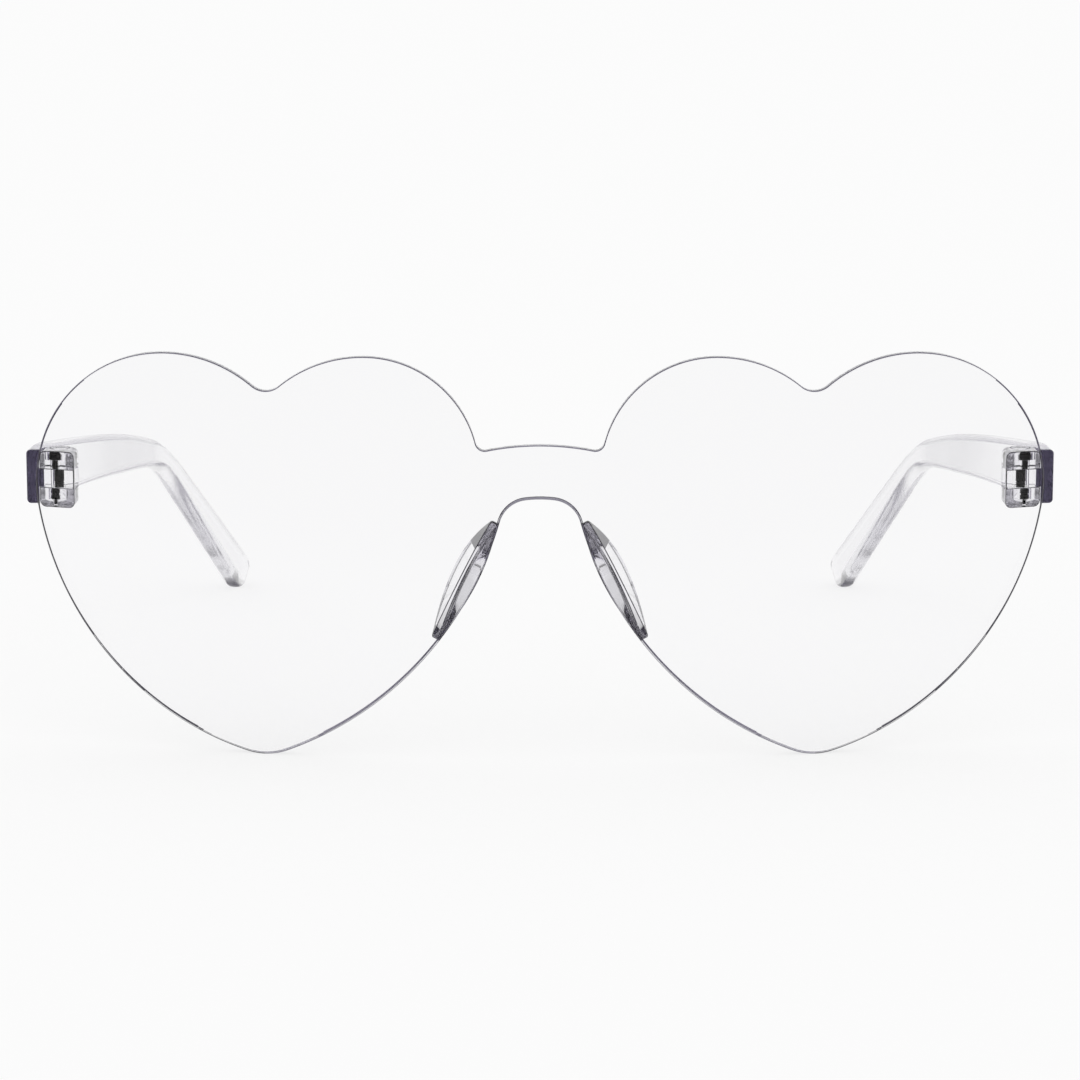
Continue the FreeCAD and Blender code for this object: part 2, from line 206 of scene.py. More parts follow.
class TempleSizes(PropertyGroup):
    """End block, arm, bend and ear hook"""
    block_front: length("Block front", "From the hinge's axis to the end block's front face", 1.75)
    block_length: length("Block length", "Length of the end block", 5.2)
    block_thickness: length("Block thickness", "Plastic beside the lugs", 2.25)
    block_corner: length("Block corner", "Corner radius of the end block", 0.6)
    block_edge: length("Block edge", "Radius round the end block's front face", 0.2)
    thickness: length("Thickness", "Width of the arm from above", 3.6)
    front_height: length("Front height", "Height at the end block", 7.8)
    middle_height: length("Middle height", "Height at the middle distance", 6.25)
    middle_distance: length("Middle distance", "From the front to where the arm tapers faster", 62.5)
    bend_height: length("Bend height", "Height at the bend", 4.2)
    tip_height: length("Tip height", "Height at the tip", 6.55)
    rear_corner: length("Rear corner", "Corner radius behind the arm", 1.55)
    arm_length: length("Arm length", "From the front face to the bend", 84.6)
    bend_length: length("Bend length", "Length of the bend", 20.4)
    hook_length: length("Hook length", "From the bend to the round tip", 30.195)
    drop_start: angle("Drop, front", "How steeply the arm falls behind the end block", 4.77)
    drop_end: angle("Drop, rear", "How steeply the arm falls before the bend", 8.75)
    arm_inset: angle("Arm inset", "How far the arm turns in", 4.63)
    hook_drop: angle("Hook drop", "How steeply the hook falls", 38.44)
    hook_inset: angle("Hook inset", "How far the hook turns in", 19.2)


class PlasticLook(PropertyGroup):
    """Clear moulded plastic"""
    refraction: amount("Refraction", "Index of refraction", 1.585, 3.0)
    tint: colour("Tint", "Colour that long ways through the plastic take on", (0.32, 0.28, 0.44))
    lens_density: amount("Lens density", "Absorption in the lens, for each metre", 18.0, 500.0)
    temple_density: amount("Temple density", "Absorption in the temples, for each metre", 12.0, 500.0)
    # Partly painted shade: the end blocks take a denser tint than the arms, for the dark that they show
    block_shaded_density: amount("Block density", "Absorption in the end blocks, for each metre", 20.0, 500.0)
    pad_density: amount("Pad density", "Absorption in the nose pads, for each metre", 30.0, 500.0)
    hinge_density: amount("Hinge density", "Absorption in the clevises, for each metre", 30.0, 500.0)
    # The cut edge and flank edge colours are painted shade, for the dark lines along the lens's edges
    painted_edge_shade: colour("Cut edge", "Colour of the lens's cut edge", (0.20, 0.185, 0.26))
    painted_flank_shade: colour("Flank edge", "Colour of the edge from the hinges to the tips", (0.04, 0.037, 0.05))
    edge_roughness: amount("Cut edge roughness", "Roughness of the lens's cut edge", 0.35)
    edge_clearness: amount("Cut edge clearness", "Share of light that passes the lens's cut edge", 1.0)
    # The pad edge colour is painted shade, for the dark rims and ends of the pads
    painted_pad_edge_shade: colour("Pad edge", "Colour of the nose pads' rims and ends", (0.02, 0.017, 0.03))
    pad_edge_roughness: amount("Pad edge roughness", "Roughness of the pads' and the lugs' edges", 0.12)
    pad_edge_clearness: amount("Pad edge clearness", "Share of light that passes the pads' edges", 0.75)
    # The hinge edge colour is painted shade, for the dark outlines of the lugs
    painted_hinge_edge_shade: colour("Hinge edge", "Colour of the hinge lugs' broken edges", (0.02, 0.018, 0.03))
    hinge_edge_clearness: amount("Hinge edge clearness", "Share of light that passes the lugs' edges", 0.5)
    gloss: amount("Gloss", "Share of the plain plastic's reflection that its polished faces keep", 0.15)
    polish: amount("Polish", "Roughness of the polished faces", 0.01)
    satin: amount("Satin", "Roughness of the temples behind the hinge", 0.11)


class MetalLook(PropertyGroup):
    """Screws and inserts"""
    screw: colour("Screw", "Darkened steel", (0.016, 0.014, 0.014))
    insert: colour("Insert", "Plated bush", (0.012, 0.011, 0.012))
    roughness: amount("Roughness", "Mean roughness of the turned metal", 0.28)


class StageLook(PropertyGroup):
    """Floor, light and camera"""
    white: amount("White", "Brightness of the floor and the surround", 0.985)
    ceiling: amount("Ceiling", "Brightness of the room overhead, as the plastic shows it", 0.8)
    floor_dim: amount("Floor dim", "Brightness of the floor before the backdrop, as reflections show it", 0.2)
    room_dim: amount("Room dim", "Brightness of the room beside the backdrop, as reflections show it", 0.55)
    glow_share: amount("Glow share", "Share of the floor's white that takes no shadow", 0.8)
    floor_size: length("Floor size", "Half the width of the floor", 12000.0)
    camera_distance: length("Camera distance", "From the bridge to the camera", 500.0)
    aim_height: length("Aim height", "Height on the bridge that the camera aims at", 31.606)
    elevation: angle("Elevation", "Camera above the horizon", 9.407)
    focal_length: amount("Focal length", "In millimetres, on a 36 mm sensor", 118.867, 500.0)


# Shapes

def verts_of(geometry):
    """The vertices among the items that a bmesh operator returns."""
    return [item for item in geometry if isinstance(item, bmesh.types.BMVert)]


def edges_of(geometry):
    """The edges among the items that a bmesh operator returns."""
    return [item for item in geometry if isinstance(item, bmesh.types.BMEdge)]


def add_piece(name, shape, node, *finishes):
    """Puts a shape in the place of a frame node, riding on the node's body."""
    mesh = bpy.data.meshes.new(name)
    for face in shape.faces:
        face.smooth = True
    shape.to_mesh(mesh)
    shape.free()
    mesh.set_sharp_from_angle(angle=SHADED_SHARP)
    for finish in finishes:
        mesh.materials.append(finish)
    piece = bpy.data.objects.new(name, mesh)
    bpy.context.scene.collection.objects.link(piece)
    steady = piece.modifiers.new("steady shading", "WEIGHTED_NORMAL")
    steady.keep_sharp = True
    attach(piece, frame["nodes"][node]["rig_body"])
    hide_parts(node)


def add_pair(name, node, shape, *finishes):
    """Adds a piece for the wearer's left and its mirror image for the right."""
    mirrored = shape.copy()
    bmesh.ops.scale(mirrored, vec=(-1, 1, 1), verts=mirrored.verts)
    bmesh.ops.reverse_faces(mirrored, faces=mirrored.faces)
    add_piece(f"{name}_left", shape, f"{node}_left", *finishes)
    add_piece(f"{name}_right", mirrored, f"{node}_right", *finishes)


def combined(shape, other, operation):
    """Two closed shapes joined, or the second cut out of the first, in millimetres. Both are used up."""
    weld = 0.0005
    objects = []
    for part in (shape, other):
        bmesh.ops.scale(part, vec=[1 / MM] * 3, verts=part.verts)
        mesh = bpy.data.meshes.new("work")
        part.to_mesh(mesh)
        part.free()
        objects.append(bpy.data.objects.new("work", mesh))
        bpy.context.scene.collection.objects.link(objects[-1])
    boolean = objects[0].modifiers.new("boolean", "BOOLEAN")
    boolean.object = objects[1]
    boolean.operation = operation
    boolean.solver = "EXACT"
    result = bmesh.new()
    result.from_object(objects[0], bpy.context.evaluated_depsgraph_get())
    for item in objects:
        mesh = item.data
        bpy.data.objects.remove(item)
        bpy.data.meshes.remove(mesh)
    bmesh.ops.remove_doubles(result, verts=result.verts, dist=weld)
    bmesh.ops.dissolve_degenerate(result, edges=result.edges, dist=weld)
    bmesh.ops.scale(result, vec=[MM] * 3, verts=result.verts)
    return result


def drawn_out(shape, way):
    """Draws a flat shape out along a vector into a closed solid."""
    extruded = bmesh.ops.extrude_face_region(shape, geom=shape.faces[:])
    bmesh.ops.translate(shape, vec=way, verts=verts_of(extruded["geom"]))
    bmesh.ops.recalc_face_normals(shape, faces=shape.faces)
    return shape


def round_edges(shape, edges, radius, segments):
    """Rounds edges of a shape. Returns the new faces."""
    return bmesh.ops.bevel(shape, geom=edges, offset=radius, offset_type="OFFSET", segments=segments,
                           profile=0.5, affect="EDGES", material=-1)["faces"]


def cylinder(radius, bottom, top):
    """A closed cylinder on the hinge's axis."""
    shape = bmesh.new()
    place = Matrix.Translation((hinge.x, hinge.y, (bottom + top) / 2))
    bmesh.ops.create_cone(shape, cap_ends=True, segments=TURN_STEPS, radius1=radius, radius2=radius,
                          depth=top - bottom, matrix=place)
    return shape


def turned(profile):
    """A solid turned on the hinge's axis from the radius and height of each point of its profile."""
    weld = 0.5e-6
    shape = bmesh.new()
    for radius, height in profile:
        bmesh.ops.create_vert(shape, co=(hinge.x + radius, hinge.y, height))
    chain = shape.verts[:]
    for pair in zip(chain, chain[1:]):
        bmesh.ops.contextual_create(shape, geom=pair)
    bmesh.ops.spin(shape, geom=shape.verts[:] + shape.edges[:], cent=hinge, axis=UP, angle=math.tau,
                   steps=TURN_STEPS, use_merge=True)
    bmesh.ops.remove_doubles(shape, verts=shape.verts, dist=weld)
    bmesh.ops.recalc_face_normals(shape, faces=shape.faces)
    return shape


def add_arched_outline(shape, start, center, axis, turn, steps, feet):
    """A closed outline: an arc, a leg from each of its ends to a foot, and a line between the feet."""
    before = set(shape.edges)
    first = bmesh.ops.create_vert(shape, co=start)["vert"]
    spun = bmesh.ops.spin(shape, geom=first, cent=center, axis=axis, angle=turn, steps=steps)
    legs = bmesh.ops.extrude_vert_indiv(shape, verts=first + verts_of(spun["geom_last"]))["verts"]
    for vert, foot in zip(legs, feet):
        vert.co = foot
    bmesh.ops.contextual_create(shape, geom=legs)
    return [edge for edge in shape.edges if edge not in before]


def rounded_outline(shape, corners, radius, before):
    """Rounds corners of a flat face and keeps only its outline. Returns the edges that are new."""
    corner_steps = 8
    bmesh.ops.bevel(shape, geom=corners, offset=radius, offset_type="OFFSET", segments=corner_steps,
                    profile=0.5, affect="VERTICES", material=-1)
    edges = [edge for edge in shape.edges if edge not in before]
    faces = {face for edge in edges for face in edge.link_faces}
    bmesh.ops.delete(shape, geom=list(faces), context="FACES_ONLY")
    return edges


def bridged(shape, loops):
    """Joins a row of closed outlines into a solid with flat ends."""
    for pair in zip(loops, loops[1:]):
        bmesh.ops.bridge_loops(shape, edges=pair[0] + pair[1])
    for end in (loops[0], loops[-1]):
        bmesh.ops.edgeloop_fill(shape, edges=end)
    bmesh.ops.recalc_face_normals(shape, faces=shape.faces)
    return shape


# Lens

def crossing(center_a, radius_a, center_b, radius_b, side):
    """The point at a distance from each of two centres, left (+1) or right (-1) of the way from a to b."""
    way = center_b - center_a
    span = way.length
    along = (radius_a ** 2 - radius_b ** 2 + span ** 2) / (2 * span)
    across = math.sqrt(radius_a ** 2 - along ** 2)
    forward = way / span
    return center_a + forward * along + Vector((-forward.z, 0, forward.x)) * (side * across)


def inner_flank_center(lens):
    """Centre of the arc from the heart's tip to the nose."""
    x = lens.inner_flank_offset + lens.inner_flank
    rise = math.sqrt((lens.inner_flank - lens.tip_radius) ** 2 - (x - lens.tip_offset) ** 2)
    return Vector((x, 0, lens.tip_radius + rise))


def outline_circles(lens):
    """Centre and radius of each arc of the left half, from the bridge's top to the nose arch."""
    half_width, height = lens_high.x, lens_high.z
    bridge = Vector((0, 0, lens.bridge_top - lens.bridge_radius))
    lobe_bridge = Vector((lens.inner_lobe_offset, 0, height - lens.inner_lobe_bridge))
    lobe_cleft = Vector((lens.inner_lobe_offset, 0, height - lens.inner_lobe_cleft))
    lobe_outer = Vector((half_width - lens.outer_lobe, 0, height - lens.outer_lobe))
    tip = Vector((lens.tip_offset, 0, lens.tip_radius))
    bridge_corner = crossing(bridge, lens.bridge_radius + lens.bridge_corner,
                             lobe_bridge, lens.inner_lobe_bridge + lens.bridge_corner, 1)
    cleft = crossing(lobe_cleft, lens.inner_lobe_cleft + lens.cleft,
                     lobe_outer, lens.outer_lobe + lens.cleft, 1)
    outer_flank = crossing(lobe_outer, lens.outer_flank - lens.outer_lobe,
                           tip, lens.outer_flank - lens.tip_radius, -1)
    inner_flank = inner_flank_center(lens)
    arch = Vector((0, 0, lens.nose_arch_top - lens.nose_arch))
    nose_corner = crossing(arch, lens.nose_arch - lens.nose_corner,
                           inner_flank, lens.inner_flank + lens.nose_corner, 1)
    return [
        (bridge, lens.bridge_radius),
        (bridge_corner, lens.bridge_corner),
        (lobe_bridge, lens.inner_lobe_bridge),
        (lobe_cleft, lens.inner_lobe_cleft),
        (cleft, lens.cleft),
        (lobe_outer, lens.outer_lobe),
        (outer_flank, lens.outer_flank),
        (tip, lens.tip_radius),
        (inner_flank, lens.inner_flank),
        (nose_corner, lens.nose_corner),
        (arch, lens.nose_arch),
    ]


def touching_point(first, second):
    """The point where two tangent circles touch."""
    (center_a, radius_a), (center_b, radius_b) = first, second
    way = center_b - center_a
    nested = way.length < max(radius_a, radius_b)
    reach = -radius_a if nested and radius_a < radius_b else radius_a
    return center_a + way.normalized() * reach


def add_arc(shape, center, start, end):
    """Spins a vertex along the shorter arc between two points of a circle in X and Z."""
    longest_step, widest_step = 0.45 * MM, math.radians(5)
    first, last = start - center, end - center
    turn = math.atan2(first.x * last.z - first.z * last.x, first.dot(last))
    steps = math.ceil(max(abs(turn) * first.length / longest_step, abs(turn) / widest_step))
    vert = bmesh.ops.create_vert(shape, co=start)["vert"]
    bmesh.ops.spin(shape, geom=vert, cent=center, axis=-BACKWARD, angle=turn, steps=steps)


def wrapped(x, radius, lens):
    """Y of a cylinder about the axis that the lens is curved round."""
    return lens_low.y + lens.wrap_radius - math.sqrt(radius ** 2 - x ** 2)


def shade_line_range(face, lens):
    """Range of the normals along Y that carry the dark line of painted shade, from -1 at the front to 1 at
    the back.

    It is wide on edges that face down or outwards, and narrows at the back towards the heart's tip.
    """
    front_narrow, front_wide, front_whole = -0.75, -0.95, -0.99
    back_none, back_tip, back_growth, back_whole = -0.1, 0.1, 2.5, 0.999
    steep, slanted = 0.6, 0.78
    downwards, mostly_downwards, upwards = -0.1, -0.55, 0.4
    beside_tip = 0.36 * lens.tip_radius
    middle = face.calc_center_median()
    facing = Vector((face.normal.x, face.normal.z)).normalized()
    nose_corners = lens.nose_arch_top - 2 * lens.nose_corner
    over_nose = abs(middle.x) < lens.tip_offset / 2 and middle.z > nose_corners
    if over_nose and facing.y < downwards:
        return front_wide, back_whole
    outward = facing.x * middle.x > 0 and abs(middle.x) > lens.tip_offset
    first, last = front_narrow, back_none
    if outward and abs(facing.y) < steep:
        first = front_whole
    elif outward and abs(facing.y) < slanted or middle.z < beside_tip:
        first = front_wide
    if facing.y < mostly_downwards or outward and facing.y < upwards:
        last = min(back_whole, back_tip + back_growth * middle.z / lens.tip_radius)
    return first, last


def paint_lens_edge_shade(shape, lens):
    """Paints shade on the cut edge as a dark line, and darker painted shade on the outer flanks."""
    for face in shape.faces:
        first, last = shade_line_range(face, lens)
        if first < face.normal.y < last:
            middle = face.calc_center_median()
            on_flank = abs(middle.x) > lens.tip_offset and middle.z < hinge.z
            face.material_index = PAINTED_SHADE_FLANK if on_flank else PAINTED_SHADE_EDGE


def lens_shape(lens):
    """The outline filled, given its thickness and round rims, cut into narrow strips and curved."""
    strip, weld, cut_tolerance, rim_steps = 0.6 * MM, 2e-6, 5e-6, 5
    shape = bmesh.new()
    circles = outline_circles(lens)
    joins = [Vector((0, 0, lens.bridge_top))]
    joins += [touching_point(*pair) for pair in zip(circles, circles[1:])]
    joins.append(Vector((0, 0, lens.nose_arch_top)))
    for (center, _), start, end in zip(circles, joins, joins[1:]):
        add_arc(shape, center, start, end)
    other = bmesh.ops.duplicate(shape, geom=shape.verts[:] + shape.edges[:])["geom"]
    bmesh.ops.scale(shape, vec=(-1, 1, 1), verts=verts_of(other))
    bmesh.ops.remove_doubles(shape, verts=shape.verts, dist=weld)
    bmesh.ops.edgeloop_fill(shape, edges=shape.edges)
    drawn_out(shape, BACKWARD * lens.thickness)
    rims = [edge for edge in shape.edges if edge.calc_face_angle() > SHARP]
    round_edges(shape, rims, lens.edge_round, rim_steps)
    # The dark line on the cut edge and the flanks is painted shade
    paint_lens_edge_shade(shape, lens)
    count = math.floor(lens_high.x / strip)
    for number in range(-count, count + 1):
        bmesh.ops.bisect_plane(shape, geom=shape.verts[:] + shape.edges[:] + shape.faces[:],
                               dist=cut_tolerance, plane_co=(number * strip, 0, 0), plane_no=(1, 0, 0))
    for vert in shape.verts:
        vert.co.y = wrapped(vert.co.x, lens.wrap_radius - vert.co.y, lens)
    return shape


# Nose pads

def nose_edge(height, lens):
    """The point of the inner flank at a height, on the flat outline."""
    center = inner_flank_center(lens)
    return Vector((center.x - math.sqrt(lens.inner_flank ** 2 - (height - center.z) ** 2), 0, height))


def add_pad_section(shape, edge, share, outward, lens, pad):
    """An outline across a fin: two feet on the back of the lens and a flat rim. Returns its edges."""
    depth = pad.end_depth + share * (pad.depth - pad.end_depth)
    width = pad.end_width + share * (pad.root_width - pad.end_width)
    rim_in = edge + outward * (share * pad.lean) + BACKWARD * depth
    rim_out = rim_in + outward * width
    buried = edge - BACKWARD * lens.thickness / 2
    feet = []
    for reach, rim in ((-share * pad.overhang, rim_in), (width, rim_out)):
        foot = buried + outward * reach
        seat = wrapped(foot.x, lens.wrap_radius - lens.thickness - pad.bond_gap, lens)
        feet.append(foot.lerp(rim, (seat - foot.y) / (rim.y - foot.y)))
    before = set(shape.edges)
    places = (feet[0], rim_in, rim_out, feet[1])
    corners = [bmesh.ops.create_vert(shape, co=place)["vert"][0] for place in places]
    bmesh.ops.contextual_create(shape, geom=corners)
    return rounded_outline(shape, corners[1:3], pad.rim_corner, before)


def paint_pad_edge_shade(shape, chord, outward, pad):
    """Paints shade, as a dark finish, on the sides of a fin's rim, its ends and the outside of its upper
    part.
    """
    side, outer_rim, inner_rim = 0.3, -0.1, 0.3
    upper_end, lower_end = -0.55, 0.75
    upper_part = pad.top - 0.2 * (pad.top - pad.bottom)
    for face in shape.faces:
        sideways, lengthwise = face.normal.dot(outward), face.normal.dot(chord)
        high = face.calc_center_median().z > upper_part
        painted_shade_outside = sideways > side and (high or face.normal.y > outer_rim)
        painted_shade_inside = sideways < -side and face.normal.y > inner_rim
        on_end = not upper_end < lengthwise < lower_end
        face.material_index = PAINTED_SHADE_EDGE if painted_shade_outside or painted_shade_inside or on_end else CLEAR


def pad_roots(shape, chord):
    """The edges along both sides of the face that a fin stands on."""
    facing_lens, lengthwise, sharp = -0.8, 0.7, math.radians(45)
    roots = []
    for edge in shape.edges:
        along = (edge.verts[0].co - edge.verts[1].co).normalized().dot(chord)
        on_seat = any(face.normal.y < facing_lens for face in edge.link_faces)
        if abs(along) > lengthwise and on_seat and edge.calc_face_angle() > sharp:
            roots.append(edge)
    return roots


def pad_shape(lens, pad):
    """A fin along the nose edge, deepest at its middle, that leans from the nose to a flat rim."""
    stations, end_steps, root_steps = 61, 4, 2
    top, bottom = nose_edge(pad.top, lens), nose_edge(pad.bottom, lens)
    chord = (bottom - top).normalized()
    outward = Vector((-chord.z, 0, chord.x))
    shape = bmesh.new()
    loops = []
    for number in range(stations):
        along = number / (stations - 1)
        share = 1 - (2 * along - 1) ** 2
        edge = nose_edge(top.z + (bottom.z - top.z) * along, lens)
        edge.y = wrapped(edge.x, lens.wrap_radius - lens.thickness, lens)
        loops.append(add_pad_section(shape, edge, share, outward, lens, pad))
    bridged(shape, loops)
    round_edges(shape, loops[0] + loops[-1], pad.end_round, end_steps)
    paint_pad_edge_shade(shape, chord, outward, pad)
    # The broken edges along the root take painted shade as well
    for face in round_edges(shape, pad_roots(shape, chord), pad.root_edge, root_steps):
        face.material_index = PAINTED_SHADE_EDGE
    return shape


# Hinges

def knuckle_levels(sizes):
    """Bottom and top of the lower lug, the middle knuckle and the upper lug."""
    pitch, half = sizes.knuckle_height + sizes.knuckle_gap, sizes.knuckle_height / 2
    return [(hinge.z + step * pitch - half, hinge.z + step * pitch + half) for step in (-1, 0, 1)]


def head_bottom(sizes):
    """Height of the underside of the screw's head."""
    return knuckle_levels(sizes)[2][1] - sizes.head_sink - sizes.head_height


def insert_bottom(sizes):
    """Height of the underside of the threaded insert."""
    return knuckle_levels(sizes)[0][1] - sizes.insert_sink - sizes.insert_length


def lug_prism(radius, outer_reach, front, bottom, top):
    """An upright prism, round behind the hinge's axis and straight forward to a front that X gives."""
    arc_steps = 18
    shape = bmesh.new()
    center = Vector((hinge.x, hinge.y, bottom))
    first = math.acos(outer_reach / radius)
    start = center + Vector((outer_reach, radius * math.sin(first), 0))
    inner, outer = hinge.x - radius, hinge.x + outer_reach
    feet = [Vector((outer, front(outer), bottom)), Vector((inner, front(inner), bottom))]
    add_arched_outline(shape, start, center, UP, math.pi - first, arc_steps, feet)
    bmesh.ops.edgeloop_fill(shape, edges=shape.edges)
    return drawn_out(shape, UP * (top - bottom))


def clevis_block(seat_radius, lens, sizes):
    """The block that the clevis is cut from, seated on the lens's back and round along its outer rims."""
    level_within, seat_within, rim_steps = 1e-7, 1e-6, 6
    (bottom, _), _, (_, top) = knuckle_levels(sizes)
    block = lug_prism(sizes.knuckle_radius, sizes.outer_reach, lambda x: wrapped(x, seat_radius, lens),
                      bottom, top)
    rims = []
    for edge in block.edges:
        level = abs(edge.verts[0].co.z - edge.verts[1].co.z) < level_within
        seated = all(vert.co.y < wrapped(vert.co.x, seat_radius, lens) + seat_within for vert in edge.verts)
        if level and not seated:
            rims.append(edge)
    round_edges(block, rims, sizes.lug_round, rim_steps)
    return block


def clevis_bores(sizes):
    """What is cut out of both lugs for the screw and the insert, a little past their outer faces."""
    (lower_bottom, _), _, (_, upper_top) = knuckle_levels(sizes)
    head_seat, insert_seat = head_bottom(sizes) - sizes.seat_gap, insert_bottom(sizes) - sizes.seat_gap
    head, insert = sizes.head_radius + sizes.screw_clearance, sizes.insert_radius + sizes.seat_gap
    shank, point = sizes.screw_radius + sizes.screw_clearance, sizes.point_radius + sizes.screw_clearance
    return turned([
        (0, upper_top + MM),
        (head, upper_top + MM),
        (head, head_seat),
        (shank, head_seat),
        (shank, hinge.z),
        (insert, hinge.z),
        (insert, insert_seat),
        (point, insert_seat),
        (point, lower_bottom - MM),
        (0, lower_bottom - MM),
    ])


def clevis_shape(lens, pad, sizes):
    """Two lugs on a thin web along the back of the lens, bored for the screw and the insert."""
    sharp_from, edge_steps = math.radians(50), 2
    (_, lower_top), _, (upper_bottom, _) = knuckle_levels(sizes)
    seat_radius = lens.wrap_radius - lens.thickness - pad.bond_gap
    web_radius = seat_radius - sizes.web
    reach = 2 * sizes.knuckle_radius
    room = lug_prism(reach, reach, lambda x: wrapped(x, web_radius, lens), lower_top, upper_bottom)
    block = combined(clevis_block(seat_radius, lens, sizes), room, "DIFFERENCE")
    sharp = [edge for edge in block.edges if edge.calc_face_angle() > sharp_from]
    # The lugs' broken edges take painted shade, for their dark outlines
    for face in round_edges(block, sharp, sizes.lug_edge, edge_steps):
        face.material_index = PAINTED_SHADE_EDGE
    return combined(block, clevis_bores(sizes), "DIFFERENCE")


def screw_shape(sizes):
    """A slotted head with a domed rim, a plain shank, the rings of a thread and a narrow point."""
    dome = ((0.28 * MM, 0.05 * MM), (0.08 * MM, 0.16 * MM), (0, 0.3 * MM))
    flat_share, under_edge, fillet, point_edge = 0.55, 0.06 * MM, 0.02 * MM, 0.12 * MM
    seat, thread_bottom = head_bottom(sizes), insert_bottom(sizes)
    head_top, point_end = seat + sizes.head_height, thread_bottom - sizes.point_length
    shank, head, point = sizes.screw_radius, sizes.head_radius, sizes.point_radius
    root, pitch = shank - sizes.thread_depth, sizes.thread_pitch
    half_crest, half_root = 0.06 * pitch, 0.08 * pitch
    profile = [(0, head_top), (head * flat_share, head_top)]
    profile += [(head - inward, head_top - down) for inward, down in dome]
    profile += [
        (head, seat + under_edge),
        (head - under_edge, seat),
        (shank + fillet, seat),
        (shank, seat - fillet),
    ]
    for turn in range(round(sizes.thread_length / pitch), 0, -1):
        crest = thread_bottom + turn * pitch
        valley = crest - pitch / 2
        profile += [
            (shank, crest + half_crest),
            (shank, crest - half_crest),
            (root, valley + half_root),
            (root, valley - half_root),
        ]
    profile += [
        (shank, thread_bottom + half_crest),
        (shank - under_edge, thread_bottom),
        (point + 0.05 * MM, thread_bottom - 0.03 * MM),
        (point, thread_bottom - 0.1 * MM),
        (point, point_end + point_edge),
        (point - point_edge, point_end),
        (0, point_end),
    ]
    slot = bmesh.new()
    place = Matrix.Translation((hinge.x, hinge.y, head_top))
    size = Matrix.Diagonal((4 * head, sizes.slot_width, 2 * sizes.slot_depth, 1))
    bmesh.ops.create_cube(slot, size=1, matrix=place @ size)
    return combined(turned(profile), slot, "DIFFERENCE")


def insert_shape(sizes):
    """A grooved bush with knurled bands."""
    edge, knurl_margin, knurl_depth = 0.08 * MM, 0.015 * MM, 0.03 * MM
    on_outside, upright = 0.01 * MM, 0.1
    bottom, outer = insert_bottom(sizes), sizes.insert_radius
    top, middle = bottom + sizes.insert_length, bottom + sizes.insert_length / 2
    bore, core = sizes.screw_radius + sizes.seat_gap, outer - sizes.groove_depth
    half_groove = sizes.groove_width / 2
    shape = turned([
        (bore, bottom),
        (outer - edge, bottom),
        (outer, bottom + edge),
        (outer, middle - half_groove - edge / 2),
        (core, middle - half_groove),
        (core, middle + half_groove),
        (outer, middle + half_groove + edge / 2),
        (outer, top - edge),
        (outer - edge, top),
        (bore, top),
        (bore, bottom),
    ])
    bands = []
    for face in shape.faces:
        place = face.calc_center_median() - hinge
        if math.hypot(place.x, place.y) > outer - on_outside and abs(face.normal.z) < upright:
            bands.append(face)
    bmesh.ops.inset_individual(shape, faces=bands, thickness=knurl_margin, depth=-knurl_depth)
    return shape


# Temples

def share_of(value, start, end):
    """How far a value has come from a start to an end, from 0 to 1."""
    return min(max((value - start) / (end - start), 0), 1)


def temple_angles(distance, sizes):
    """Drop and inset of the centre line: a level end block, an arched arm and a smooth bend."""
    settle = share_of(distance, sizes.block_length, 2 * sizes.block_length)
    along = share_of(distance, sizes.block_length, sizes.arm_length)
    turn = share_of(distance, sizes.arm_length, sizes.arm_length + sizes.bend_length)
    eased = turn * turn * (3 - 2 * turn)
    arm_drop = settle * (sizes.drop_start + (sizes.drop_end - sizes.drop_start) * along ** 2)
    drop = arm_drop + eased * (sizes.hook_drop - sizes.drop_end)
    inset = settle * sizes.arm_inset + eased * (sizes.hook_inset - sizes.arm_inset)
    return drop, inset


def temple_heading(distance, sizes):
    """Unit vector along the centre line."""
    drop, inset = temple_angles(distance, sizes)
    return Vector((-math.sin(inset) * math.cos(drop), math.cos(inset) * math.cos(drop), -math.sin(drop)))


def temple_section(distance, sizes):
    """Height and corner radius of the section at a distance from the front."""
    bend_middle = sizes.arm_length + sizes.bend_length / 2
    tip_start = sizes.arm_length + sizes.bend_length + sizes.hook_length
    heights = [
        (sizes.block_length, sizes.front_height),
        (sizes.middle_distance, sizes.middle_height),
        (bend_middle, sizes.bend_height),
        (tip_start, sizes.tip_height),
    ]
    height = sizes.front_height
    for (start, first), (end, last) in zip(heights, heights[1:]):
        height += (last - first) * share_of(distance, start, end)
    along = share_of(distance, sizes.block_length, bend_middle)
    return height, sizes.block_corner + along * (sizes.rear_corner - sizes.block_corner)


def add_rounded_rectangle(shape, place, width, height, corner):
    """The outline of a rectangle with round corners, standing on a matrix. Returns its edges."""
    before = set(shape.edges)
    stretch = Matrix.Diagonal((width, height, 1, 1))
    grid = bmesh.ops.create_grid(shape, x_segments=1, y_segments=1, size=0.5, matrix=place @ stretch)
    return rounded_outline(shape, grid["verts"], corner, before)


